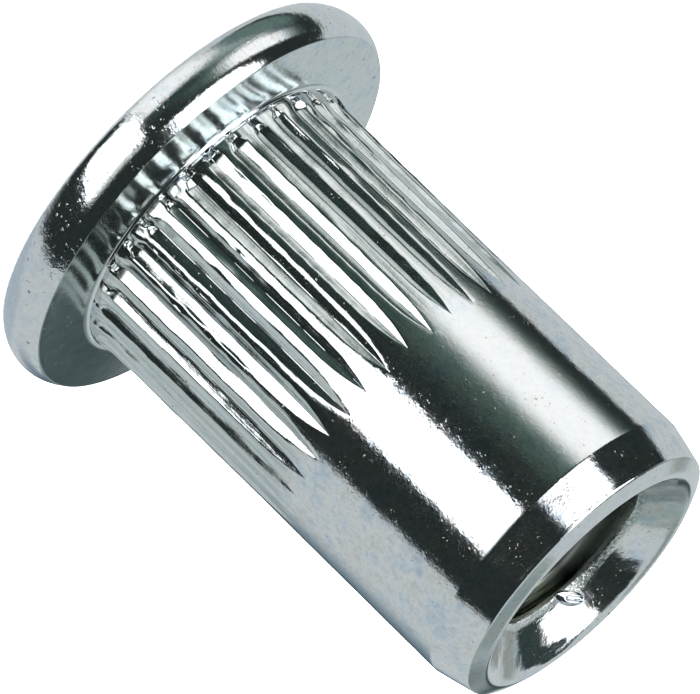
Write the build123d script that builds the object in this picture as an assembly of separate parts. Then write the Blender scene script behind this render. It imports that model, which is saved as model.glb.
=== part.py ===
from build123d import *
import math
import os

# Splined rivet nut: a cold-formed, zinc-plated steel blind threaded insert in one piece.
# Millimetres. Origin at the centre of the flat outer head face, +Z along the axis from the
# head to the threaded tip, so the nut stands on its head.

# ---- driving dimensions ----
thread_major_d = 6.0        # M6 x 1, right-hand
thread_pitch = 1.0
thread_minor_r = 2.5        # bore through the thread crests (6H allows 4.917 to 5.153 diameter)
body_r = 4.5                # shank, for a 9 mm hole
head_r = 6.5                # flange at its widest
head_face_r = 6.2           # where the outer face turns into the rim
head_crease_r = 6.26        # where the rim meets the seating face
head_t = 1.5                # flange thickness
head_belly_z = 0.7865       # height of the widest place on the rim
neck_fillet = 0.3           # under the flange
total_len = 16.2

taper_z = 14.85             # the lead-in taper starts here
tip_r = 4.22                # outer edge of the tip rim
tip_z = 16.0
tip_in_r = 3.48             # inner edge of the tip rim
tip_in_z = 16.1
sink_z = 15.25              # the countersink meets the thread bore

chamber_r = 3.45            # plain chamber that folds when the nut is set
chamber_z = 8.65            # end of its straight wall
shoulder_z = 9.2            # its conical end meets the thread bore
mouth_chamfer = 0.3

spline_n = 36               # V grooves round the shank
spline_phase = 6.5          # degrees, first groove
spline_depth = 0.15
spline_half_w = 0.31        # half width where the shank radius is body_r
spline_z0 = 1.82            # grooves start just above the neck fillet
spline_z1 = 9.54            # points of the run-outs
spline_end_z = 9.6          # above this the shank is a true cylinder
crest_proud = 0.03          # rolling lifts the crests this much at the head end, fading to none
runout_r = 13.4             # radius of each groove's run-out

# ---- turned section: half profile in the XZ plane ----
neck_z = head_t + neck_fillet
neck_r = body_r + crest_proud
arc45 = neck_fillet * (1 - math.sqrt(0.5))
with BuildPart() as nut:
    with BuildSketch(Plane.XZ):
        with BuildLine():
            Line((chamber_r + mouth_chamfer, 0), (head_face_r, 0))
            ThreePointArc((head_face_r, 0), (head_r, head_belly_z), (head_crease_r, head_t))
            Line((head_crease_r, head_t), (neck_r + neck_fillet, head_t))
            ThreePointArc(
                (neck_r + neck_fillet, head_t),
                (neck_r + arc45, head_t + arc45),
                (neck_r, neck_z),
            )
            Line((neck_r, neck_z), (body_r, spline_end_z))
            Line((body_r, spline_end_z), (body_r, taper_z))
            Line((body_r, taper_z), (tip_r, tip_z))
            ThreePointArc(
                (tip_r, tip_z), ((tip_r + tip_in_r) / 2, total_len), (tip_in_r, tip_in_z)
            )
            Line((tip_in_r, tip_in_z), (thread_minor_r, sink_z))
            Line((thread_minor_r, sink_z), (thread_minor_r, shoulder_z))
            Line((thread_minor_r, shoulder_z), (chamber_r, chamber_z))
            Line((chamber_r, chamber_z), (chamber_r, mouth_chamfer))
            Line((chamber_r, mouth_chamfer), (chamber_r + mouth_chamfer, 0))
        make_face()
    revolve(axis=Axis.Z)
blank = nut.part

# ---- one groove cutter: a V prism that ends in a V disc, so each groove runs out to a point ----
over = 0.6                                   # how far the cutter stands outside the shank
root_r = body_r - spline_depth
slope = spline_half_w / spline_depth
runout_len = math.sqrt(runout_r**2 - (runout_r - spline_depth) ** 2)
prism_top = spline_z1 - runout_len
vee = Polygon(
    (root_r, 0),
    (body_r + over, -slope * (spline_depth + over)),
    (body_r + over, slope * (spline_depth + over)),
    align=None,
)
prism = extrude(
    Plane.XY.offset(spline_z0) * vee, amount=prism_top - spline_z0, dir=(0, 0, 1)
)
# the disc starts a little inside the prism, where its root lies above the prism's root
disc_x = root_r + runout_r
lead_in, sweep = 3, 24
start = Pos(disc_x, 0, prism_top) * Rot(0, -lead_in, 0) * Pos(-disc_x, 0, 0) * vee
disc = revolve(
    start,
    axis=Axis((disc_x, 0, prism_top), (0, 1, 0)),
    revolution_arc=lead_in + sweep,
)
cutter = prism + disc

grooves = [
    Rot(0, 0, spline_phase + i * 360 / spline_n) * cutter for i in range(spline_n)
]
body = blank - grooves
solid = body.solids()[0]
solid.label = "rivet_nut_body"

box = solid.bounding_box()
print("solids", len(body.solids()), "volume", round(solid.volume, 3), "valid", solid.is_valid)
print("box", box.min, box.max)

os.makedirs("parts", exist_ok=True)
export_step(solid, "parts/rivet_nut_body.step")
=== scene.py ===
import math

import bpy
import numpy as np
from mathutils import Matrix


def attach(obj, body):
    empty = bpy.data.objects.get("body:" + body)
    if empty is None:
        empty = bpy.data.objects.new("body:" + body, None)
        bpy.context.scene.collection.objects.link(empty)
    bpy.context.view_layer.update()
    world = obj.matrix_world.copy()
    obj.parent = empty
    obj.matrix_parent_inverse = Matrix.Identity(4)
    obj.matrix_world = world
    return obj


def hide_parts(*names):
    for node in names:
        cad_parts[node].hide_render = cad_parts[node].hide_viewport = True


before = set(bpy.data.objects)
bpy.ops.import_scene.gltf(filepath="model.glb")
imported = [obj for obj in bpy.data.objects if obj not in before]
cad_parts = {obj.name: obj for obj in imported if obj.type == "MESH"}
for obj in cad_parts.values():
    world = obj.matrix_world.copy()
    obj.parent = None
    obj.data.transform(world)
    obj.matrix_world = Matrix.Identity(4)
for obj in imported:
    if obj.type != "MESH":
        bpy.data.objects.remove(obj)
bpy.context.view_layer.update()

# Splined rivet nut, zinc plated. One closed skin, swept from a half profile, with the cut
# splines, the helical thread and the small forming marks worked into its rings.
# Lengths in this file are millimetres until put_mesh() writes metres.

MM = 0.001
TAU = 2 * math.pi

# ---- sizes, the same as the solid's ----
BODY_R = 4.5
TIP_TOP = 16.2
SPLINES = 36
PITCH = TAU / SPLINES
PHASE = math.radians(6.5)
TIP_OF_GROOVE = 9.54
THREAD_PITCH = 1.0
THREAD_MINOR = 2.5
THREAD_MAJOR = 3.0
SINK_Z = 15.25
CHAMBER_R = 3.45
CHAMBER_Z = 8.65
SHOULDER_Z = 9.2


# ------------------------------------------------------------------ small tools
def smooth(x, a, b):
    """0 below a, 1 above b, smooth between."""
    t = np.clip((np.asarray(x, float) - a) / (b - a), 0.0, 1.0)
    return t * t * (3 - 2 * t)


def waves(seed, kt, kz, count, amp):
    """A smooth random field over (angle, z), periodic in the angle, of rms amp."""
    rs = np.random.RandomState(seed)
    a = rs.randint(kt[0], kt[1] + 1, count)
    b = rs.uniform(kz[0], kz[1], count) * rs.choice([-1.0, 1.0], count)
    p = rs.uniform(0, TAU, count)

    def field(th, z):
        out = np.zeros(np.broadcast(th, z).shape)
        for i in range(count):
            out += np.sin(a[i] * th + b[i] * z + p[i])
        return out * (amp / math.sqrt(count / 2))

    return field


def arc3(p0, p1, p2, n):
    """n points on the circle arc through three (r, z) points."""
    (x1, y1), (x2, y2), (x3, y3) = p0, p1, p2
    d = 2 * (x1 * (y2 - y3) + x2 * (y3 - y1) + x3 * (y1 - y2))
    s1, s2, s3 = x1 * x1 + y1 * y1, x2 * x2 + y2 * y2, x3 * x3 + y3 * y3
    ux = (s1 * (y2 - y3) + s2 * (y3 - y1) + s3 * (y1 - y2)) / d
    uy = (s1 * (x3 - x2) + s2 * (x1 - x3) + s3 * (x2 - x1)) / d
    rad = math.hypot(x1 - ux, y1 - uy)
    a1 = math.atan2(y1 - uy, x1 - ux)
    a2 = math.atan2(y2 - uy, x2 - ux)
    a3 = math.atan2(y3 - uy, x3 - ux)
    a2 = a1 + (a2 - a1 + math.pi) % TAU - math.pi
    a3 = a2 + (a3 - a2 + math.pi) % TAU - math.pi
    t = np.linspace(a1, a3, n)
    return [(ux + rad * math.cos(v), uy + rad * math.sin(v)) for v in t]


def line(p0, p1, n):
    """n points from p0 to p1, both included."""
    return [(p0[0] + (p1[0] - p0[0]) * k / (n - 1), p0[1] + (p1[1] - p0[1]) * k / (n - 1)) for k in range(n)]


class Skin:
    """Rings of points joined into one closed surface."""

    def __init__(self):
        self.co, self.faces, self.count = [], [], 0

    def ring(self, th, r, z):
        th = np.asarray(th, float)
        r = np.broadcast_to(r, th.shape)
        z = np.broadcast_to(z, th.shape)
        self.co.append(np.stack([r * np.cos(th), r * np.sin(th), z], -1))
        ids = np.arange(self.count, self.count + len(th))
        self.count += len(th)
        return ids

    def join(self, a, b):
        """Quads between two rings, or triangles where one has twice the points of the other."""
        if len(a) == len(b):
            a2, b2 = np.roll(a, -1), np.roll(b, -1)
            self.faces += np.stack([a, a2, b2, b], -1).tolist()
        elif len(a) == 2 * len(b):
            n = len(b)
            for i in range(n):
                f0, f1, f2 = int(a[2 * i]), int(a[2 * i + 1]), int(a[(2 * i + 2) % (2 * n)])
                c0, c1 = int(b[i]), int(b[(i + 1) % n])
                self.faces += [[f0, f1, c0], [f1, c1, c0], [f1, f2, c1]]
        elif 2 * len(a) == len(b):
            n = len(a)
            for i in range(n):
                c0, c1 = int(a[i]), int(a[(i + 1) % n])
                f0, f1, f2 = int(b[2 * i]), int(b[2 * i + 1]), int(b[(2 * i + 2) % (2 * n)])
                self.faces += [[c0, f1, f0], [c0, c1, f1], [c1, f2, f1]]
        else:
            raise ValueError("rings do not match")


def put_mesh(name, co, faces, merge=0.0):
    me = bpy.data.meshes.new(name)
    me.from_pydata((co * MM).tolist(), [], faces)
    me.update()
    if merge:
        import bmesh
        bm = bmesh.new()
        bm.from_mesh(me)
        bmesh.ops.remove_doubles(bm, verts=bm.verts, dist=merge * MM)
        bmesh.ops.dissolve_degenerate(bm, dist=merge * MM, edges=bm.edges)
        bm.to_mesh(me)
        bm.free()
    me.validate()
    ob = bpy.data.objects.new(name, me)
    bpy.context.scene.collection.objects.link(ob)
    return ob


# ------------------------------------------------------------------ the nut's skin
FINE = 16 * SPLINES            # columns where the splines are
MID = FINE // 2                # columns on the smooth outside
COARSE = FINE // 4             # columns inside

rs = np.random.RandomState(41)
groove_tip = TIP_OF_GROOVE + rs.normal(0, 0.035, SPLINES)
crest_lift = rs.uniform(0.6, 1.15, SPLINES)
RUNOUT = 2.0                   # length over which each groove runs out to its point

# each groove: half widths below and above its valley line, depth, and how wide the rolled
# corner is on each side. The rolling tool left every one a little different.
low_w = rs.uniform(0.25, 0.32, SPLINES)
high_w = rs.uniform(0.25, 0.32, SPLINES)
depth_ = rs.uniform(0.125, 0.15, SPLINES)
low_c = rs.uniform(0.035, 0.065, SPLINES)
high_c = rs.uniform(0.035, 0.065, SPLINES)
for g, lw, hw, dp, lc, hc in (
    (31, .236, .275, .150, .05, .04),
    (30, .334, .314, .150, .06, .04),
    (29, .295, .314, .145, .05, .05),
    (28, .306, .334, .150, .04, .11),
    (27, .262, .243, .120, .035, .04),
    (26, .334, .306, .145, .125, .04),
    (25, .283, .255, .130, .04, .055),
    (24, .255, .300, .140, .04, .06),
    (23, .252, .246, .110, .05, .05),
    (22, .200, .275, .110, .05, .08),
    (21, .295, .275, .130, .07, .05),
    (20, .225, .295, .110, .05, .05),
):
    low_w[g], high_w[g], depth_[g], low_c[g], high_c[g] = lw, hw, dp, lc, hc

edge_lo = [waves(200 + i, (0, 0), (2.0, 14.0), 7, 1.0) for i in range(SPLINES)]
edge_hi = [waves(300 + i, (0, 0), (2.0, 14.0), 7, 1.0) for i in range(SPLINES)]
crest_wave = [waves(100 + i, (0, 0), (1.5, 9.0), 6, 1.0) for i in range(SPLINES)]
flank_wave = waves(7, (20, 150), (0.2, 1.6), 26, 0.0013)
skin_wave = waves(11, (5, 40), (1.0, 9.0), 30, 0.0007)
slow_wave = waves(12, (2, 9), (0.2, 1.0), 12, 0.004)

# small marks across the lands: land, z, half length along the axis, height of the lip or dent,
# middle column, half width in columns, slant in millimetres a column
nicks = [
    (29, 4.15, .060, -.016, 12.4, 3.2, .000), (29, 5.55, .075, -.020, 12.2, 3.6, .010),
    (28, 3.85, .045, .016, 13.8, 2.6, .000), (28, 6.20, .070, .020, 13.8, 3.0, .008),
    (22, 3.36, .020, -.008, 13.8, 4.0, .004), (22, 3.98, .030, .010, 13.6, 3.4, -.010), (22, 4.58, .022, -.008, 14.2, 3.6, .004),
    (21, 5.92, .030, .015, 16.5, 5.0, .012), (21, 2.86, .022, .012, 16.5, 4.6, .004),
    (23, 4.05, .035, .014, 13.6, 3.6, .010), (30, 6.02, .030, -.018, 17.2, 3.0, .000),
    (24, 6.60, .040, .008, 12.2, 2.4, .000), (26, 7.20, .045, .007, 13.0, 2.4, .010), (27, 3.10, .040, -.008, 14.0, 2.2, .000),
    (25, 3.80, .040, .012, 13.2, 2.6, .008), (20, 6.10, .050, -.012, 13.0, 3.0, .010), (31, 3.60, .050, .010, 12.6, 3.2, -.008),
    (32, 7.40, .050, .012, 13.2, 3.0, .010), (19, 4.40, .060, .012, 13.2, 3.0, .000),
]
for land in [k for k in range(SPLINES) if not 19 <= k <= 32]:
    for _ in range(rs.randint(1, 4)):
        nicks.append((land, rs.uniform(2.6, 8.8), rs.uniform(.02, .07), rs.choice([-1, 1]) * rs.uniform(.007, .018),
                      13.8 + rs.uniform(-1.5, 1.5), rs.uniform(2.2, 4.4), rs.uniform(-.012, .012)))

# dents along the flanks: groove, side (-1 low, 1 high), z from, z to, depth
dents = [(29, 1, 4.25, 5.0, .010), (29, 1, 5.45, 6.6, .022), (29, 1, 6.9, 7.6, .016), (23, -1, 5.9, 6.5, -.010),
         (23, -1, 7.7, 8.3, -.012), (26, -1, 2.5, 3.4, -.010), (31, 1, 3.0, 4.4, .006), (21, -1, 3.8, 5.2, .008), (22, 1, 3.6, 5.0, -.008)]
for g_ in range(SPLINES):
    if not 19 <= g_ <= 32:
        a_ = rs.uniform(3.0, 7.0)
        dents.append((g_, rs.choice([-1, 1]), a_, a_ + rs.uniform(0.5, 1.4), rs.uniform(-.010, .014)))

# where each groove starts at the neck: a shallow pocket behind the ring, a small nodule, and
# then the groove runs in to its full size. The lands carry a few drawn ridges there.
neck_rs = np.random.RandomState(77)
pocket = neck_rs.uniform(.58, .82, SPLINES)
nod_z = 1.955 + neck_rs.normal(0, .028, SPLINES)
nod_l = neck_rs.uniform(.040, .070, SPLINES)
nod_fill = neck_rs.uniform(.15, .80, SPLINES)
run_in = neck_rs.uniform(.16, .30, SPLINES)
neck_shift = neck_rs.normal(0, 0.022, SPLINES)
ridge = neck_rs.normal(0, 0.0050, (SPLINES, 16))


def neck_size(z, g):
    """Width and depth of groove g near the neck, 1 for the full groove."""
    w = pocket[g] + (1 - pocket[g]) * float(smooth(z, nod_z[g], nod_z[g] + run_in[g]))
    d = w * float(smooth(z, 1.712, 1.75)) * (1 - nod_fill[g] * math.exp(-((z - nod_z[g]) / nod_l[g]) ** 2))
    return w, d


def along(z, tip):
    """1 where a groove is full, falling to 0 at its point."""
    s = np.clip((z - (tip - RUNOUT)) / RUNOUT, 0, 1)
    return 1 - s ** 2.4


def spline_ring(z, base_r):
    """Angles and radii of one ring through the splines."""
    th = np.zeros(FINE)
    r = np.zeros(FINE)
    relax = float(smooth(z, TIP_OF_GROOVE + 0.05, TIP_OF_GROOVE + 0.45)) + float(1 - smooth(z, 1.62, 1.70))
    cols = []
    for g in range(SPLINES):
        q = float(along(z, groove_tip[g]))
        nw, nd = neck_size(z, g) if z < 2.4 else (1.0, 1.0)
        lw = low_w[g] + 0.0050 * float(edge_lo[g](0.0, z))
        hw = high_w[g] + 0.0050 * float(edge_hi[g](0.0, z))
        cols.append((PHASE + g * PITCH + neck_shift[g] * (1 - float(smooth(z, 1.8, 2.2))) / BODY_R, q, lw * nw, hw * nw, nd))
    for g in range(SPLINES):
        c, q, lw, hw, nd = cols[g]
        valley = 0.016 + 0.006 * float(crest_wave[g](1.0, z * 0.7))
        lc, hc, d = low_c[g], high_c[g], depth_[g] * q * nd
        k_ = max(q, 0.05)
        xl = np.array([lw, lw - 0.5 * lc, lw - lc, lw - lc - 0.02, 0.5 * (lw - lc), 0.018]) * k_
        xh = np.array([0.018, 0.5 * (hw - hc), hw - hc - 0.02, hw - hc, hw - 0.5 * hc, hw]) * k_
        x = np.concatenate([-xl, [0.0], xh])
        nc, nq, nlw, _, _ = cols[(g + 1) % SPLINES]
        right = x[-1]
        left = (nc - c) % TAU * BODY_R - nlw * max(nq, 0.05)
        gap = right + (left - right) * np.array([0.2, 0.5, 0.8])
        x = np.concatenate([x, gap])
        a = c + x / BODY_R
        u = PHASE + g * PITCH + (np.arange(16) - 6) * PITCH / 16
        a = a * (1 - relax) + u * relax
        # depth below the land: rolled corner, straight flank, softly rounded valley
        v = np.zeros(16)
        for side in (0, 1):
            w, cr = (lw, lc) if side == 0 else (hw, hc)
            tan = d / max((w - 0.5 * cr - 0.008) * k_, 1e-6)
            xs = np.abs(x) / k_
            sel = (np.arange(16) < 6) if side == 0 else ((np.arange(16) >= 6) & (np.arange(16) <= 12))
            flat = (w - cr - xs) * k_ * tan + 0.5 * cr * k_ * tan
            corner = 0.5 * np.clip(w - xs, 0, None) ** 2 / cr * k_ * tan
            vv = np.where(xs > w - cr, corner, flat)
            vv = vv - np.clip(valley - xs, 0, None) ** 2 / (2 * valley) * k_ * tan
            v = np.where(sel, vv, v)
        land = np.array([1.0, .75, .45, .2, .05, 0, 0, 0, .05, .2, .45, .75, 1, 1.12, 1.18, 1.12])
        lift = 0.030 * (1 - float(smooth(z, 2.0, 9.0))) * crest_lift[g] * float(smooth(z, 1.74, 1.80))
        lift *= 1 + 0.25 * float(crest_wave[g](0.0, z))
        side_k = np.where(np.arange(16) < 6, crest_lift[g - 1] / crest_lift[g], 1.0)
        k = slice(16 * g, 16 * g + 16)
        th[k] = a
        r[k] = base_r - v + lift * land * side_k
    for land_i, nz, ln, ht, cc_, hw_, sl in nicks:
        if abs(z - nz) < 4 * ln + abs(sl) * hw_:
            for c in range(int(cc_ - hw_), int(cc_ + hw_) + 2):
                wgt = max(0.0, 1 - ((c - cc_) / hw_) ** 2)
                f = math.exp(-((z - nz - sl * (c - cc_)) / ln) ** 2)
                r[(16 * land_i + c) % FINE] += ht * f * wgt
    for g_, sd, za, zb, dp in dents:
        if za - 0.15 < z < zb + 0.15:
            f = float(smooth(z, za - 0.08, za + 0.10)) * float(1 - smooth(z, zb - 0.10, zb + 0.08))
            f *= 1 + 0.35 * float(crest_wave[g_](2.0, z))
            for c, wgt in ((1, .4), (2, .9), (3, 1.0), (4, .5)):
                i = (16 * g_ + (6 + (6 - c) * sd)) % FINE
                r[i] -= dp * f * wgt
    if z < 2.5:
        keep = float(smooth(z, 1.72, 1.77)) * float(1 - smooth(z, 1.85, 2.30))
        for g in range(SPLINES):
            k = slice(16 * g, 16 * g + 16)
            r[k] += ridge[g] * keep * (1 + 0.5 * float(crest_wave[g](1.0, z * 2)))
    return th, r


lump_wave = waves(31, (30, 110), (4.0, 14.0), 22, 1.0)

skin = Skin()
rings = []


def add(th, r, z):
    ids = skin.ring(th, r, z)
    if rings:
        skin.join(rings[-1], ids)
    rings.append(ids)
    return ids


u_fine = PHASE + (np.arange(FINE) - 6) * PITCH / 16
u_mid = u_fine[::2]
u_coarse = u_fine[::4]

# --- outer face of the head, from the mouth chamfer to the rim
first = add(u_coarse, CHAMBER_R + 0.3, 0.0)
add(u_mid, 4.2, 0.0)
for r_ in (4.8, 5.4, 5.9):
    add(u_mid, r_, 0.0)
add(u_mid, 6.1, 0.0)

# --- the rim, one drawn curve with a soft corner at the outer face
rim = arc3((6.2, 0.0), (6.5, 0.75), (6.26, 1.44), 27)
soft = [(6.13, 0.0), (6.175, 0.008), (6.205, 0.034)]
for r_, z_ in soft + rim[1:]:
    wob = slow_wave(u_mid, z_) * float(smooth(z_, 0.05, 0.4)) * float(1 - smooth(z_, 1.2, 1.42))
    wob = wob + skin_wave(u_mid, z_) * float(smooth(z_, 0.05, 0.3))
    add(u_mid, np.minimum(r_ + wob, 6.4999), z_)

# --- the sharp crease and the slightly conical seating face
crease = [(6.253, 1.458), (6.235, 1.466), (6.20, 1.468)]
for r_, z_ in crease:
    add(u_mid, r_, z_)
for r_, z_ in line((6.05, 1.485), (4.825, 1.622), 8):
    add(u_mid, r_, z_ + skin_wave(u_mid, r_ * 2) * 0.8)

# --- the neck ring: a smooth collar that falls away to the splines
neck = [(4.775, 1.628), (4.740, 1.637), (4.708, 1.652), (4.680, 1.674), (4.658, 1.700), (4.646, 1.716), (4.632, 1.720), (4.595, 1.722)]
for r_, z_ in neck[:4]:
    add(u_mid, r_ + 0.7 * skin_wave(u_mid, r_ * 3), z_)
for r_, z_ in neck[4:]:
    add(u_fine, r_ + 0.5 * skin_wave(u_fine, r_ * 3), z_)

# --- the splines
zs = list(np.arange(1.729, 2.29, 0.0265)) + list(np.arange(2.32, 7.48, 0.147)) + list(np.arange(7.52, 9.60, 0.09))
for z_ in zs:
    base = BODY_R + 0.090 * float(1 - smooth(z_, 1.62, 2.45)) - 0.028 * float(1 - smooth(z_, 1.728, 1.770))
    th, r = spline_ring(z_, base)
    if z_ < 2.4:
        fade = float(smooth(z_, 1.71, 1.78)) * float(1 - smooth(z_, 2.05, 2.3))
        r = r + 0.0028 * fade * lump_wave(th, z_)
    r = r + flank_wave(th, z_) * float(smooth(z_, 1.9, 2.4)) * float(1 - smooth(z_, 8.9, 9.5))
    add(th, r, z_)
for z_ in (9.64, 9.72, 9.82):
    th, r = spline_ring(z_, BODY_R)
    add(th, r, z_)
add(u_fine, BODY_R, 10.0)

# --- the smooth shank
for z_ in np.linspace(10.16, 14.78, 26):
    f = float(smooth(z_, 10.1, 10.6)) * float(1 - smooth(z_, 14.4, 14.75))
    add(u_mid, BODY_R + skin_wave(u_mid, z_) * f, z_)

# --- taper, tip rim, countersink
tip = [(4.5, 14.85), (4.488, 14.90), (4.462, 15.0), (4.417, 15.2), (4.369, 15.4), (4.32, 15.6), (4.271, 15.8), (4.238, 15.93)]
# a tight corner, a gently domed lip, then the roll into the countersink
tip += [(4.233, 15.960), (4.224, 15.977), (4.204, 15.992), (4.14, 16.022), (4.06, 16.060), (3.98, 16.097), (3.90, 16.134), (3.82, 16.168),
        (3.755, 16.189), (3.69, 16.191), (3.63, 16.170), (3.565, 16.134), (3.50, 16.094), (3.44, 16.048), (3.38, 15.999),
        (3.32, 15.948), (3.25, 15.888), (3.17, 15.821), (3.09, 15.754), (3.01, 15.687), (2.94, 15.629)]
sink_wave = waves(51, (12, 60), (3.0, 16.0), 26, 1.0)
for r_, z_ in tip:
    rr = r_ + skin_wave(u_mid, z_ + r_) * 0.7
    if r_ < 3.52:
        rr = rr + 0.0022 * float(smooth(3.52 - r_, 0.0, 0.10)) * sink_wave(u_mid, z_)
    dip = np.interp(np.degrees(u_mid) % 360, [0, 40, 50, 60, 67, 360], [0, 0, 1, 1, 0, 0])
    add(u_mid, rr, z_ - 0.026 * dip * math.exp(-((r_ - 3.47) / 0.115) ** 2))


def edge_r(th):
    """Radius of the bore's edge, which the first turn of the thread pulls off round."""
    d = np.degrees(th) % 360
    return np.interp(d, [0, 20, 60, 72, 110, 128, 150, 170, 200, 250, 300, 360],
                     [2.44, 2.39, 2.385, 2.45, 2.46, 2.52, 2.58, 2.60, 2.58, 2.50, 2.46, 2.44])


# the broken edge of the first turn: small beads and tears
burr = waves(61, (60, 140), (10.0, 40.0), 30, 1.0)
burr2 = waves(62, (20, 70), (6.0, 20.0), 16, 1.0)


def burr_amp(th):
    d = np.degrees(th) % 360
    return np.interp(d, [0, 10, 30, 60, 72, 175, 200, 360], [.40, .45, .60, .70, 1.0, .9, .5, .35])


def ledge(th):
    """1 where the first turn leaves a small flat inside the countersink."""
    d = np.degrees(th) % 360
    return np.interp(d, [0, 8, 20, 58, 68, 360], [0, 0, 1, 1, 0, 0])


def sink_z(r):
    """Height of the countersink's cone at radius r."""
    return SINK_Z + 0.867 * (r - THREAD_MINOR)


def lip_z(th, r):
    """The cone near the bore's edge, with the small flat the first turn leaves on part of it."""
    e_ = edge_r(th)
    t = np.clip((r - e_) / 0.15, 0, 1)
    flat = sink_z(e_ + 0.15) - 0.03 * (1 - t)
    return sink_z(r) + (flat - sink_z(r)) * ledge(th) * (r - e_ < 0.15)


e = edge_r(u_mid)
for t_ in (.80, .62, .47, .34, .23, .14, .06, 0.0):
    w_ = float(smooth(0.45 - t_, 0.0, 0.35))
    jit = 0.010 * burr_amp(u_mid) * w_ * (burr(u_mid, t_ * 0.5) + 0.8 * burr2(u_mid, t_ * 0.5))
    r_ = e + (2.88 - e) * t_
    add(u_mid, r_ + jit * 0.5, lip_z(u_mid, r_) + jit * 0.8)
add(u_mid, e - 0.014, lip_z(u_mid, e) - 0.030 + 0.004 * burr_amp(u_mid) * burr(u_mid, 3.0))
top_ring = add(u_coarse, edge_r(u_coarse) - 0.01, SINK_Z - 0.17)

# --- the bore: the helical thread is a sheared grid whose rows follow the helix
M = 12                                          # rows per turn of pitch
N = COARSE
z_hi, z_lo = SINK_Z - 0.17, SHOULDER_Z
start = 0.35                                    # phase of the thread start
turns = int(math.ceil((z_hi - z_lo) / THREAD_PITCH)) + 2
rows = np.arange(0, turns * M + 1)


def thread_r(phase):
    """Radius of the internal thread's surface; phase runs 0..1 over one pitch."""
    p = np.abs((phase % 1.0) - 0.5) * 2          # 0 at the root, 1 at the crest
    return np.clip(THREAD_MAJOR + 0.06 - p * (THREAD_MAJOR - THREAD_MINOR + 0.16), THREAD_MINOR, THREAD_MAJOR)


ti = np.arange(N)
grid = np.zeros((len(rows), N), int)
raw = z_hi + THREAD_PITCH * 1.0 - THREAD_PITCH * (rows[:, None] / M + ti[None, :] / N)
zc = np.clip(raw, z_lo, z_hi)
th_in = u_coarse[None, :] * np.ones((len(rows), 1))
ph = (zc - z_hi) / THREAD_PITCH + ti[None, :] / N + start
rad = thread_r(ph)
near_end = smooth(zc, z_hi - 0.10, z_hi)
rad = rad * (1 - near_end) + (edge_r(th_in) - 0.01) * near_end
near_lo = 1 - smooth(zc, z_lo, z_lo + 0.45)
rad = rad * (1 - near_lo) + THREAD_MINOR * near_lo
base_id = skin.count
pts = np.stack([rad * np.cos(th_in), rad * np.sin(th_in), zc], -1).reshape(-1, 3)
skin.co.append(pts)
skin.count += len(pts)
grid = base_id + np.arange(len(pts)).reshape(len(rows), N)
R_ = len(rows)
for i in range(N):
    i2 = (i + 1) % N
    shift = 0 if i2 else M
    for j in range(R_ - 1):
        a, b = grid[j, i], grid[j + 1, i]
        # the seam column meets the first column one pitch further on
        ja, jb = j + shift, j + 1 + shift
        ja, jb = min(ja, R_ - 1), min(jb, R_ - 1)
        if shift:
            ja, jb = j + M, j + 1 + M
            if ja > R_ - 1:
                ja = R_ - 1
            if jb > R_ - 1:
                jb = R_ - 1
        c, d = grid[jb, i2], grid[ja, i2]
        f = [int(a), int(d), int(c), int(b)]
        skin.faces.append(f)

# --- shoulder, chamber and mouth chamfer
rings.append(None)
low = skin.ring(u_coarse, THREAD_MINOR, z_lo)
rings.append(low)
for r_, z_ in line((2.6, 9.142), (CHAMBER_R - 0.04, CHAMBER_Z + 0.03), 4) + line((CHAMBER_R, CHAMBER_Z - 0.03), (CHAMBER_R, 0.34), 12):
    add(u_coarse, r_, z_)
add(u_coarse, CHAMBER_R + 0.02, 0.28)
skin.join(rings[-1], first)

co = np.concatenate(skin.co)
nut = put_mesh("rivet_nut", co, skin.faces, merge=0.0015)
nut.data.shade_smooth()
nut.data.set_sharp_from_angle(angle=math.radians(38))


# the drop of plating hanging on the bore's edge: a flat bean with a slit along it
bead_th, bead_r = math.radians(74.5), 2.65
NU, NV = 14, 48
bco, bfa = [], []
for side in (0, 1):
    for j in range(NU + 1):
        q_ = math.sin(j / NU * math.pi / 2)
        for i in range(NV if j else 1):
            w_ = TAU * i / NV
            x_, y_ = q_ * math.cos(w_), q_ * math.sin(w_)
            if side == 0:
                h_ = 0.165 * math.sqrt(max(0.0, 1 - q_ * q_)) * (1 + 0.25 * x_)
                h_ *= 1 - 0.90 * math.exp(-((y_ + 0.05) / 0.24) ** 2) * float(smooth(x_, -0.40, -0.10)) * float(1 - smooth(x_, 0.72, 0.95))
            else:
                h_ = -0.08 * math.sqrt(max(0.0, 1 - q_ * q_))
            h_ -= 0.012
            a_ = bead_th + (0.335 * x_ - 0.118 * y_) / bead_r
            r_ = bead_r + 0.250 * x_ + 0.150 * y_
            z_ = sink_z(r_)
            r_, z_ = r_ - 0.655 * h_, z_ + 0.755 * h_
            bco.append((r_ * math.cos(a_), r_ * math.sin(a_), z_))
half = 1 + NU * NV
for side in (0, 1):
    o_ = side * half
    for i in range(NV):
        i2 = (i + 1) % NV
        f_ = [o_, o_ + 1 + i, o_ + 1 + i2]
        bfa.append(f_ if side == 0 else f_[::-1])
        for j in range(NU - 1):
            f_ = [o_ + 1 + j * NV + i, o_ + 1 + (j + 1) * NV + i, o_ + 1 + (j + 1) * NV + i2, o_ + 1 + j * NV + i2]
            bfa.append(f_ if side == 0 else f_[::-1])
bead = put_mesh("plating_bead", np.array(bco), bfa, merge=0.0005)
bead.data.shade_smooth()


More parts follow.
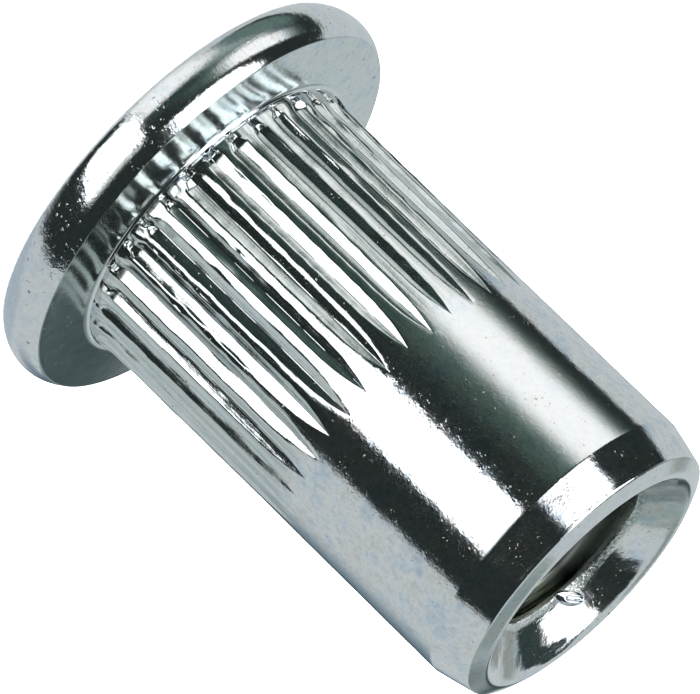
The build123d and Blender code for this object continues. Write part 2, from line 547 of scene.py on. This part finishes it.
# ------------------------------------------------------------------ zinc
def zinc_material(name):
    mat = bpy.data.materials.new(name)
    mat.use_nodes = True
    nt = mat.node_tree
    nd, ln = nt.nodes, nt.links
    nd.clear()
    out = nd.new("ShaderNodeOutputMaterial")
    bsdf = nd.new("ShaderNodeBsdfPrincipled")
    ln.new(bsdf.outputs[0], out.inputs[0])
    bsdf.inputs["Metallic"].default_value = 1.0
    coord = nd.new("ShaderNodeTexCoord")

    def noise(scale, detail, rough=0.5, vec=None, distortion=0.0):
        n = nd.new("ShaderNodeTexNoise")
        n.inputs["Scale"].default_value = scale
        n.inputs["Detail"].default_value = detail
        n.inputs["Roughness"].default_value = rough
        n.inputs["Distortion"].default_value = distortion
        ln.new(vec or coord.outputs["Object"], n.inputs["Vector"])
        return n.outputs["Fac"]

    def ramp(src, stops):
        r = nd.new("ShaderNodeValToRGB")
        e = r.color_ramp.elements
        while len(e) < len(stops):
            e.new(0.5)
        for i, (p, c) in enumerate(stops):
            e[i].position = p
            e[i].color = (*c, 1)
        ln.new(src, r.inputs[0])
        return r.outputs[0]

    def math_(op, a_, b_=None, clamp=False):
        m = nd.new("ShaderNodeMath")
        m.operation = op
        m.use_clamp = clamp
        for k, v in enumerate((a_, b_)):
            if v is None:
                continue
            if isinstance(v, (int, float)):
                m.inputs[k].default_value = v
            else:
                ln.new(v, m.inputs[k])
        return m.outputs[0]

    def mix(fac, a_, b_):
        m = nd.new("ShaderNodeMix")
        m.data_type = "RGBA"
        ln.new(fac, m.inputs[0])
        for k, v in ((6, a_), (7, b_)):
            if isinstance(v, tuple):
                m.inputs[k].default_value = (*v, 1)
            else:
                ln.new(v, m.inputs[k])
        return m.outputs[2]

    def times(a_, b_):
        m = nd.new("ShaderNodeMix")
        m.data_type = "RGBA"
        m.blend_type = "MULTIPLY"
        m.inputs[0].default_value = 1.0
        for k, v in ((6, a_), (7, b_)):
            if isinstance(v, tuple):
                m.inputs[k].default_value = (*v, 1)
            else:
                ln.new(v, m.inputs[k])
        return m.outputs[2]

    def zone(name_):
        n = nd.new("ShaderNodeAttribute")
        n.attribute_name = name_
        return n.outputs["Fac"]

    def stretched(sx, sz):
        m = nd.new("ShaderNodeMapping")
        m.inputs["Scale"].default_value = (sx, sx, sz)
        ln.new(coord.outputs["Object"], m.inputs["Vector"])
        return m.outputs[0]

    groove_zone, bore_zone, seat_zone = zone("groove_zone"), zone("bore_zone"), zone("seat_zone")
    burr_zone, bore_lit_streak_zone, rim_zone = zone("burr_zone"), zone("bore_lit_streak_zone"), zone("rim_zone")
    line_zone, dust_zone = zone("line_zone"), zone("dust_zone")

    def spot(th_deg, r_, z_, rad_):
        """A small ragged pit at one place on the surface."""
        v = nd.new("ShaderNodeVectorMath")
        v.operation = "DISTANCE"
        t_ = math.radians(th_deg)
        v.inputs[1].default_value = (r_ * math.cos(t_) * MM, r_ * math.sin(t_) * MM, z_ * MM)
        ln.new(coord.outputs["Object"], v.inputs[0])
        d_ = math_("ADD", v.outputs["Value"], math_("MULTIPLY", noise(12000.0, 1.0), 0.7 * rad_ * MM))
        d_ = math_("SUBTRACT", 1.35 * rad_ * MM, d_)
        return math_("MULTIPLY", d_, 2.2 / (rad_ * MM), clamp=True)

    # colour: broad warmer and bluer patches, brown stains, bluish bloom, a few dark specks, plus painted shade on the
    # seat and painted shade and light in the bore
    tint = ramp(noise(1500.0, 4.0, 0.58), [(0.34, (0.66, 0.74, 0.81)), (0.45, (0.79, 0.83, 0.86)),
                                          (0.54, (0.85, 0.85, 0.84)), (0.66, (0.80, 0.79, 0.77))])
    cloud = ramp(noise(3900.0, 2.0, 0.55), [(0.36, (0.84, 0.85, 0.87)), (0.50, (1, 1, 1)), (0.64, (0.90, 0.893, 0.878))])
    tint = times(tint, cloud)
    stain = ramp(noise(7500.0, 4.0, 0.65), [(0.54, (0, 0, 0)), (0.66, (1, 1, 1))])
    where = ramp(noise(900.0, 3.0), [(0.44, (0, 0, 0)), (0.60, (1, 1, 1))])
    colour = mix(math_("MULTIPLY", math_("MULTIPLY", stain, where), 0.30), tint, (0.62, 0.62, 0.60))
    bloom = ramp(noise(5200.0, 3.0, 0.6), [(0.55, (0, 0, 0)), (0.68, (1, 1, 1))])
    colour = mix(math_("MULTIPLY", bloom, 0.40), colour, (0.68, 0.75, 0.83))
    colour = mix(math_("MULTIPLY", rim_zone, 0.45), colour, (0.79, 0.82, 0.83))
    colour = mix(math_("MULTIPLY", zone("plain_zone"), 0.55), colour, (0.79, 0.815, 0.815))
    colour = mix(seat_zone, colour, times(colour, (0.88, 0.92, 0.91)))
    # painted shade: the seating face is mixed towards a darker teal, more strongly on some sides than others
    colour = mix(zone("seat_shade_zone"), colour, (0.645, 0.70, 0.69))
    drawn = ramp(noise(8200.0, 3.0, 0.65, stretched(1.0, 0.010)), [(0.40, (0.74, 0.765, 0.76)), (0.52, (0.90, 0.915, 0.91)), (0.62, (1, 1, 1))])
    plain = times(mix(math_("MULTIPLY", line_zone, 0.60), colour, (0.82, 0.83, 0.83)), (0.935, 0.96, 0.95))
    colour = mix(line_zone, colour, times(plain, drawn))
    speck = ramp(noise(11000.0, 2.0, 0.5), [(0.690, (0, 0, 0)), (0.735, (1, 1, 1))])
    colour = mix(math_("MULTIPLY", math_("MULTIPLY", speck, zone("grain_zone")), 0.7), colour, (0.25, 0.25, 0.24))
    beaded = ramp(noise(10500.0, 2.0, 0.6), [(0.40, (0.26, 0.30, 0.27)), (0.50, (0.50, 0.55, 0.50)), (0.62, (0.80, 0.83, 0.80))])
    colour = mix(math_("MULTIPLY", burr_zone, 0.85), colour, beaded)
    # painted shade and painted light in the bore: near-black walls stand in for the shade inside it, lighter olive
    # streaks near the mouth on one side stand in for light along the thread, and the far wall deeper in is taken back
    # towards zinc
    streak = ramp(noise(5600.0, 3.0, 0.65, stretched(0.05, 1.0)), [(0.45, (0, 0, 0)), (0.55, (1, 1, 1))])
    inner = mix(bore_lit_streak_zone, (0.095, 0.108, 0.096), mix(streak, (0.085, 0.098, 0.075), (0.60, 0.66, 0.52)))
    inner = mix(zone("deep_zone"), inner, (0.72, 0.78, 0.73))
    colour = mix(bore_zone, colour, inner)
    spots = None
    for place in ((311.0, 6.46, 0.40, .055), (318.0, 6.50, 0.88, .065), (336.2, 6.42, 1.22, .075), (300.0, 6.50, 0.60, .040),
                  (292.0, 6.49, 1.02, .035), (344.0, 6.50, 0.80, .045), (20.0, 6.48, 0.50, .06), (120.0, 6.48, 1.0, .05), (200.0, 6.47, 0.6, .06),
                  (180.2, 5.83, 1.50, .055), (189.2, 5.26, 1.57, .045), (164.0, 5.97, 1.49, .06), (159.2, 5.90, 1.50, .05),
                  (168.8, 5.06, 1.60, .04), (198.8, 6.42, 1.22, .04), (205.0, 6.44, 1.10, .035),
                  (86.0, 3.66, 16.19, .045), (66.5, 3.12, 15.79, .030)):
        one = spot(*place)
        spots = one if spots is None else math_("MAXIMUM", spots, one)
    colour = mix(math_("MULTIPLY", spots, 0.75), colour, (0.16, 0.17, 0.165))
    ln.new(colour, bsdf.inputs["Base Color"])

    # gloss: near mirror, duller on the seating face and in the bore
    rough = math_("MULTIPLY_ADD", noise(2600.0, 4.0), 0.10)
    nt.nodes[-1].inputs[2].default_value = 0.035
    rough = math_("ADD", rough, math_("MULTIPLY", seat_zone, 0.08))
    rough = math_("ADD", rough, math_("MULTIPLY", bore_zone, 0.40))
    rough = math_("ADD", rough, math_("MULTIPLY", burr_zone, 0.15))
    rough = math_("ADD", rough, math_("MULTIPLY", groove_zone, 0.02))
    ln.new(rough, bsdf.inputs["Roughness"])

    # relief too fine for the mesh: plating grain, small pits, and drawn lines along the grooves
    grain = math_("MULTIPLY", noise(6500.0, 2.0, 0.5), 1.45e-6)
    grain = math_("ADD", grain, math_("MULTIPLY", noise(11000.0, 2.0, 0.55), 1.7e-6))
    grain = math_("ADD", grain, math_("MULTIPLY", noise(18000.0, 1.0, 0.5), 0.8e-6))
    grain = math_("ADD", grain, math_("MULTIPLY", noise(3500.0, 1.0, 0.5), 1.0e-6))
    grain = math_("MULTIPLY", grain, zone("grain_zone"))
    crumbly = ramp(noise(2300.0, 2.0, 0.5), [(0.44, (0.35, 0.35, 0.35)), (0.56, (1, 1, 1))])
    crumb = math_("MULTIPLY", math_("MULTIPLY", noise(8800.0, 2.0, 0.6), math_("MULTIPLY", zone("crumb_zone"), crumbly)), 5.0e-6)
    grit = ramp(noise(7600.0, 1.0, 0.5), [(0.675, (0, 0, 0)), (0.75, (1, 1, 1))])
    crumb = math_("ADD", crumb, math_("MULTIPLY", math_("MULTIPLY", grit, zone("crumb_zone")), 5.5e-6))
    grain = math_("ADD", grain, crumb)
    patch = ramp(noise(3800.0, 3.0, 0.6), [(0.46, (0, 0, 0)), (0.58, (0.25, 0.25, 0.25)), (0.70, (1, 1, 1))])
    grain = math_("ADD", grain, math_("MULTIPLY", math_("MULTIPLY", noise(13500.0, 1.0, 0.5), math_("MULTIPLY", patch, dust_zone)), 3.6e-6))
    cluster = ramp(noise(1500.0, 2.0), [(0.53, (0.0, 0.0, 0.0)), (0.66, (1, 1, 1))])
    pits = ramp(noise(12500.0, 1.0, 0.5), [(0.68, (0, 0, 0)), (0.78, (1, 1, 1))])
    grain = math_("ADD", grain, math_("MULTIPLY", math_("MULTIPLY", pits, cluster), 4.2e-6))
    lines = math_("MULTIPLY", math_("MULTIPLY", noise(9500.0, 3.0, 0.6, stretched(1.0, 0.02)), line_zone), 4.5e-6)
    lines = math_("ADD", lines, math_("MULTIPLY", math_("MULTIPLY", noise(4200.0, 2.0, 0.6, stretched(1.0, 0.012)), line_zone), 6.0e-6))
    beads = math_("MULTIPLY", math_("MULTIPLY", noise(10500.0, 2.0, 0.6), burr_zone), 2.0e-5)
    turned = math_("MULTIPLY", math_("MULTIPLY", noise(9000.0, 2.0, 0.6, stretched(0.12, 1.0)), bore_zone), 8.0e-6)
    relief = math_("ADD", math_("ADD", grain, lines), math_("ADD", beads, turned))
    bump = nd.new("ShaderNodeBump")
    bump.inputs["Strength"].default_value = 1.0
    bump.inputs["Distance"].default_value = 1.0
    ln.new(relief, bump.inputs["Height"])
    ln.new(bump.outputs[0], bsdf.inputs["Normal"])
    return mat


# zones of the surface that the finish differs in, and where painted shade and painted light go
n_v = len(nut.data.vertices)
vco = np.zeros(n_v * 3)
nut.data.vertices.foreach_get("co", vco)
vco = vco.reshape(-1, 3) / MM
vr, vz = np.hypot(vco[:, 0], vco[:, 1]), vco[:, 2]
vth = np.arctan2(vco[:, 1], vco[:, 0])
edge_z = lip_z(vth, edge_r(vth))
zones = {
    "groove_zone": smooth(vz, 1.9, 2.2) * (1 - smooth(vz, 9.3, 9.6)) * (vr > 4.2) * smooth(4.5 - vr, 0.0, 0.03),
    "bore_zone": (1 - smooth(vz - edge_z, -0.06, -0.02)) * (vr < 3.46),
    "burr_zone": smooth(vz - edge_z, -0.05, -0.02) * (1 - smooth(vz - edge_z, 0.06, np.interp(np.degrees(vth) % 360, [0, 72, 78, 90, 112, 360], [.15, .15, .30, .30, .16, .15]))) * (vr < 3.0) * smooth(burr_amp(vth), 0.3, 1.0),
    # painted light: streaks along the thread near the bore's mouth, on one side only
    "bore_lit_streak_zone": (vr < 3.2) * smooth(vz, 13.2, 14.2) * np.interp(np.degrees(vth) % 360, [0, 10, 28, 66, 84, 360], [.3, .8, 1, .9, 0, 0]),
    "line_zone": smooth(vz, 1.74, 1.9) * (1 - smooth(vz, 8.6, 9.5)) * (vr > 4.2),
    "dust_zone": np.interp(np.degrees(vth) % 360, [0, 206, 216, 243, 250, 255, 264, 270, 360], [1, 1, .35, .35, 1, 2.1, 2.1, 1, 1]) * smooth(vz, 9.0, 9.6) * np.where(vz > 14.86, 0.40, 1.0) * np.where(vr < 3.6, 0.6, 1.0) + 0.5 * (vr > 5.9) * (1 - smooth(vz, 1.42, 1.47)),
    "crumb_zone": (vr > 5.9) * (1 - smooth(vz, 1.42, 1.47)) * np.interp(np.degrees(vth) % 360, [0, 40, 240, 272, 318, 335, 360], [.25, .2, .2, 1, 1, .35, .25]),
    # where the seating face's painted shade goes, by angle round the axis
    "seat_shade_zone": (vz > 1.45) * (vz < 1.66) * (vr > 4.7) * np.interp(np.degrees(vth) % 360, [0, 50, 150, 235, 280, 360], [.85, .6, .25, .25, .7, .85]),
    "plain_zone": np.maximum(np.maximum(smooth(vz, 15.85, 15.98) * (vr > 2.6), (vz > 1.45) * (vz < 1.74) * (vr <= 4.84)),
                             1.3 * (vr > 4.2) * smooth(vz, 8.8, 9.8) * (1 - smooth(vz, 14.80, 14.86)) * np.interp(np.degrees(vth) % 360, [0, 212, 219, 247, 253, 360], [0, 0, 1, 1, 0, 0])),
    # where the bore's painted shade is taken back towards a zinc tone
    "deep_zone": np.interp(np.degrees(vth) % 360, [0, 84, 106, 122, 140, 240, 270, 360], [0, 0, .9, .9, .32, .32, 0, 0]) * (vr < 3.1) * smooth(vz, 12.0, 13.0),
    "grain_zone": 1 - 0.6 * (vr > 4.2) * smooth(vz, 8.8, 9.8) * (1 - smooth(vz, 14.80, 14.86)) * np.interp(np.degrees(vth) % 360, [0, 206, 216, 243, 252, 360], [0, 0, 1, 1, 0, 0]),
    "rim_zone": (vr > 5.9) * (1 - smooth(vz, 1.42, 1.47)),
    "seat_zone": ((vz > 1.45) & (vz < 1.66) & (vr > 4.7)).astype(float),
}
for zone_name, val in zones.items():
    at = nut.data.attributes.new(zone_name, "FLOAT", "POINT")
    at.data.foreach_set("value", np.asarray(val, np.float32))

zinc = zinc_material("zinc_plate_bright")
nut.data.materials.append(zinc)
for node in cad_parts.values():
    for s in node.material_slots:
        s.material = zinc

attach(nut, "root")
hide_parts("rivet_nut_body")
bead.data.materials.append(zinc)
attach(bead, "root")


# ------------------------------------------------------------------ studio
# A close dome of soft boxes and black flags round the part, seen only in its reflections.
# Directions are (azimuth, elevation) in degrees from DOME_C, azimuth 0 along +X and 90 along +Y.
DOME_C = (0.0, 0.0, 0.7)
DOME_R = 80.0
CELLS = 720, 360                       # half a degree


def srgb(v):
    v = np.asarray(v, float) / 255
    return np.where(v <= 0.04045, v / 12.92, ((v + 0.055) / 1.055) ** 2.4)


def shade(rgb, metal=(0.80, 0.82, 0.83)):
    """Emission that shows as this display colour in the metal."""
    return srgb(rgb) / np.asarray(metal)


az_c = (np.arange(CELLS[0]) + 0.5) * 360 / CELLS[0]
el_c = 90 - (np.arange(CELLS[1]) + 0.5) * 180 / CELLS[1]
AZ, EL = np.meshgrid(az_c, el_c)
studio = np.zeros((CELLS[1], CELLS[0], 3))


def blur(mask, s_az, s_el):
    """Gaussian softening in degrees, wrapping round in azimuth."""
    def kernel(s):
        n = max(1, int(math.ceil(3 * s * 2)))
        x = np.arange(-n, n + 1) / 2.0
        k = np.exp(-0.5 * (x / max(s, 1e-3)) ** 2)
        return k / k.sum(), n
    k, n = kernel(s_az)
    pad = np.concatenate([mask[:, -n:], mask, mask[:, :n]], 1)
    out = np.zeros_like(mask)
    for i, w in enumerate(k):
        out += w * pad[:, i:i + mask.shape[1]]
    k, n = kernel(s_el)
    pad = np.concatenate([out[:1].repeat(n, 0), out, out[-1:].repeat(n, 0)], 0)
    res = np.zeros_like(mask)
    for i, w in enumerate(k):
        res += w * pad[i:i + mask.shape[0]]
    return res


def inside(poly):
    """Even-odd test over the whole dome, also for outlines that cross azimuth 0."""
    hit = np.zeros(AZ.shape, bool)
    for turn in (-360, 0, 360):
        x, y = AZ + turn, EL
        c = np.zeros(AZ.shape, bool)
        n = len(poly)
        for i in range(n):
            (x1, y1), (x2, y2) = poly[i], poly[(i + 1) % n]
            if y1 == y2:
                continue
            cross = ((y1 > y) != (y2 > y)) & (x < (x2 - x1) * (y - y1) / (y2 - y1) + x1)
            c ^= cross
        hit |= c
    return hit.astype(float)


def panel(poly, colour, soft=1.0, soft_el=None, level=1.0):
    m = blur(inside(poly), soft, soft if soft_el is None else soft_el)[..., None] * level
    studio[:] = studio * (1 - m) + np.asarray(colour) * m


def box(a0, a1, e0, e1):
    return [(a0, e0), (a1, e0), (a1, e1), (a0, e1)]


def round_panel(az, el, ra, re, colour, soft, level=1.0):
    panel([(az + ra * math.cos(t), el + re * math.sin(t)) for t in np.linspace(0, TAU, 48, endpoint=False)],
          colour, soft, level=level)


WHITE = np.array((2.2, 2.25, 2.3))
BRIGHT = np.array((1.05, 1.07, 1.08))
GREY = shade((181, 190, 193))
DARK = shade((38, 44, 44))

studio[:] = GREY
# the dark side of the room, overhead and right down under the part
panel([(157, 95), (157, -8), (156, -15), (152, -28), (146, -38), (138, -46), (150, -54), (175, -58), (190, -64), (300, -64),
       (344, -43), (338, -20), (337, 20), (331, 40), (328, 60), (328, 95)], DARK, 1.0)
panel([(195, 80), (195, 95), (555, 95), (555, 86), (420, 85), (380, 76), (370, 70), (350, 66), (320, 60)], DARK, 1.5)
panel([(303, -40), (343, -40), (352, -48), (360, -54), (370, -58), (380, -62), (390, -65), (405, -69), (420, -72), (435, -76),
       (450, -79), (480, -82), (540, -86), (540, -95), (230, -95), (250, -80), (262, -76), (272, -74), (285, -72), (298, -69),
       (303, -62)], DARK, 1.5)
panel([(375, -62), (405, -69), (435, -76), (480, -82), (540, -86), (540, -95), (375, -95)], shade((82, 92, 92)), 3.0)
panel([(325, 0), (339.5, 0), (341, 12), (343, 23), (350, 38), (371, 50), (374, 58), (345, 66), (322, 68)], DARK, 1.5)
panel(box(205, 330, 62, 84), shade((52, 58, 58)), 3.0)
# low cards: grey green, then pale, then near white
panel([(172, -16), (190, -22), (226, -22), (226, -42), (205, -50), (180, -60), (160, -56), (150, -45), (160, -28)],
      shade((92, 112, 108)), 3.0)
panel([(188, -22), (222, -22), (226, -42), (205, -48), (192, -38)], shade((132, 148, 145)), 3.0)
panel([(200, -46), (225, -33), (262, -30), (262, -77), (240, -84), (150, -84), (160, -72), (185, -58)], shade((222, 226, 226)), 4.0)
panel([(210, -50), (228, -37), (258, -35), (258, -76), (230, -82), (198, -80), (192, -68)], BRIGHT, 4.0)
panel(box(259, 266, -80, -50), shade((140, 146, 146)), 1.5)
# tall soft box A
panel(box(270, 305, -2, 12), shade((222, 226, 226)), 1.5, 3.0)
panel([(269.5, 3), (306, 3), (305.5, 0), (303.5, -15), (303.0, -30), (304.5, -45), (306, -60), (302, -69),
       (264, -69), (263, -45), (264, -30), (266.5, -15), (268.5, 0)], WHITE, 0.7, 1.5)
# round diffuser C
panel(box(213, 240, -28, 8), shade((70, 87, 82)), 6.5)
panel([(174, 14), (214, 14), (225, 5), (225, -12), (212, -24), (190, -24), (174, -12)], shade((86, 106, 101)), 5.0, 2.5)
panel([(181, 12.5), (212, 12.5), (218, 5), (218, -10), (212, -19), (190, -20), (181, -10)], np.array((1.15, 1.155, 1.16)), 4.5, 2.5)
panel(box(228, 259, -28, -14.2), shade((48, 63, 62)), 2.5, 1.5)
panel([(157, 9), (214, 9), (230, 12), (252, 18), (252, 24), (157, 24)], DARK, 0.8)
# overhead soft box B
panel(box(250, 257, 20, 56), shade((95, 101, 101)), 1.5)
panel([(249.5, 82), (250.5, 40), (251, 30), (252, 23.5), (256, 22), (256, 20.5), (238, 18.3), (224, 16.6), (211, 16.6),
       (211, 18.5), (203, 25), (196, 30.6), (190, 37), (186, 42), (178, 47), (165, 56), (147, 57.5), (150, 82.5)], WHITE, 0.7)
# far side: card under the shoulder, darker doorway behind, shading towards the edge
panel([(53, 24), (76, 10), (76, 38), (62, 44), (52, 40)], shade((108, 121, 121)), 5.0)
panel(box(75, 86, 8, 35), shade((58, 72, 75)), 2.0)
panel(box(49, 100, -13.5, -2), shade((98, 118, 130)), 9.0, 2.0)
panel(box(68, 91, -18.5, -2), shade((72, 86, 93)), 3.5, 1.5)
panel([(48, 47), (68, 44), (73, 57), (83, 66), (85, 74), (60, 74), (48, 62)], shade((131, 144, 144)), 2.5)
panel([(38, 38), (52, 31), (60, 46), (48, 57), (34, 55)], shade((140, 153, 151)), 3.0)
panel(box(110, 127, 24, 38), shade((140, 148, 145)), 2.0)
panel([(127, 34), (132, 34), (146, 41), (152, 46), (152, 57.2), (149, 60), (149, 77), (134, 75), (130, 62), (128, 50)], shade((48, 60, 60)), 1.0)
panel(box(0, 70, -60, -30), shade((178, 188, 196)), 8.0)
panel(box(14, 80, -58, -22), shade((161, 174, 183)), 4.0, 2.0)
panel(box(60, 125, -85, -60), shade((205, 212, 214)), 5.0)

na, ne = 360, 120
daz = np.radians(np.arange(na) * 360 / na)
del_ = np.radians(np.linspace(-90, 90, ne + 1))
dco, dfa, dcol = [], [], []


def studio_at(az_deg, el_deg):
    """Bilinear look-up in the painted dome."""
    x = (az_deg % 360) / 360 * CELLS[0] - 0.5
    y = (90 - el_deg) / 180 * CELLS[1] - 0.5
    x0, y0 = int(math.floor(x)), int(np.clip(math.floor(y), 0, CELLS[1] - 2))
    fx, fy = x - x0, min(max(y - y0, 0.0), 1.0)
    a, b = x0 % CELLS[0], (x0 + 1) % CELLS[0]
    return ((studio[y0, a] * (1 - fx) + studio[y0, b] * fx) * (1 - fy)
            + (studio[y0 + 1, a] * (1 - fx) + studio[y0 + 1, b] * fx) * fy)


for j in range(ne + 1):
    for i in range(na):
        a, e = daz[i], del_[j]
        dco.append((DOME_C[0] + DOME_R * math.cos(e) * math.cos(a),
                    DOME_C[1] + DOME_R * math.cos(e) * math.sin(a),
                    DOME_C[2] + DOME_R * math.sin(e)))
        dcol.append(studio_at(math.degrees(a), math.degrees(e)))
for j in range(ne):
    for i in range(na):
        i2 = (i + 1) % na
        dfa.append([j * na + i, (j + 1) * na + i, (j + 1) * na + i2, j * na + i2])
dome = put_mesh("studio_dome", np.array(dco), dfa)
col = dome.data.color_attributes.new("glow", "FLOAT_COLOR", "POINT")
col.data.foreach_set("color", np.concatenate([np.array(dcol), np.ones((len(dcol), 1))], 1).ravel())
dm = bpy.data.materials.new("studio_glow")
dm.use_nodes = True
dn, dl = dm.node_tree.nodes, dm.node_tree.links
dn.clear()
d_out = dn.new("ShaderNodeOutputMaterial")
d_em = dn.new("ShaderNodeEmission")
d_at = dn.new("ShaderNodeVertexColor")
d_at.layer_name = "glow"
dl.new(d_at.outputs["Color"], d_em.inputs["Color"])
dl.new(d_em.outputs[0], d_out.inputs[0])
dm.cycles.emission_sampling = "NONE"
dome.data.materials.append(dm)
dome.visible_camera = False
dome.visible_shadow = False
dome.visible_diffuse = False
dome.visible_transmission = False
dome.visible_volume_scatter = False

# pale floor
fn = 48
fco, ffa = [(0, 0, -0.002)], []
for k, rr in enumerate((20, 60, 160, 500, 1600)):
    for i in range(fn):
        t = TAU * i / fn
        fco.append((rr * math.cos(t), rr * math.sin(t), -0.002))
for i in range(fn):
    ffa.append([0, 1 + i, 1 + (i + 1) % fn])
for k in range(4):
    for i in range(fn):
        a, b = 1 + k * fn + i, 1 + k * fn + (i + 1) % fn
        ffa.append([a, a + fn, b + fn, b])
floor = put_mesh("studio_floor", np.array(fco, float), ffa)
fm = bpy.data.materials.new("studio_paper")
fm.use_nodes = True
fb = fm.node_tree.nodes["Principled BSDF"]
fb.inputs["Base Color"].default_value = (0.9, 0.9, 0.9, 1)
fb.inputs["Roughness"].default_value = 1.0
fb.inputs["Specular IOR Level"].default_value = 0.0
floor.data.materials.append(fm)
floor.visible_glossy = False

world = bpy.data.worlds.new("studio_air")
bpy.context.scene.world = world
world.use_nodes = True
wb = world.node_tree.nodes["Background"]
wb.inputs[0].default_value = (1, 1, 1, 1)
wb.inputs[1].default_value = 4.0

bpy.context.scene.view_settings.view_transform = "Standard"
bpy.context.scene.view_settings.look = "None"

# ------------------------------------------------------------------ camera
cam_data = bpy.data.cameras.new("main_camera")
cam = bpy.data.objects.new("main_camera", cam_data)
bpy.context.scene.collection.objects.link(cam)
cam.matrix_world = Matrix((
    (-0.69672507, -0.71733826, 0.0, -0.000026),
    (0.22239319, -0.21600257, -0.95072823, -0.16862),
    (0.68199373, -0.66239619, 0.31002555, 0.061894),
    (0, 0, 0, 1),
))
cam_data.sensor_width = 36
cam_data.sensor_fit = "HORIZONTAL"
cam_data.lens = 341.75
cam_data.clip_start = 0.005
cam_data.clip_end = 20
bpy.context.scene.camera = cam
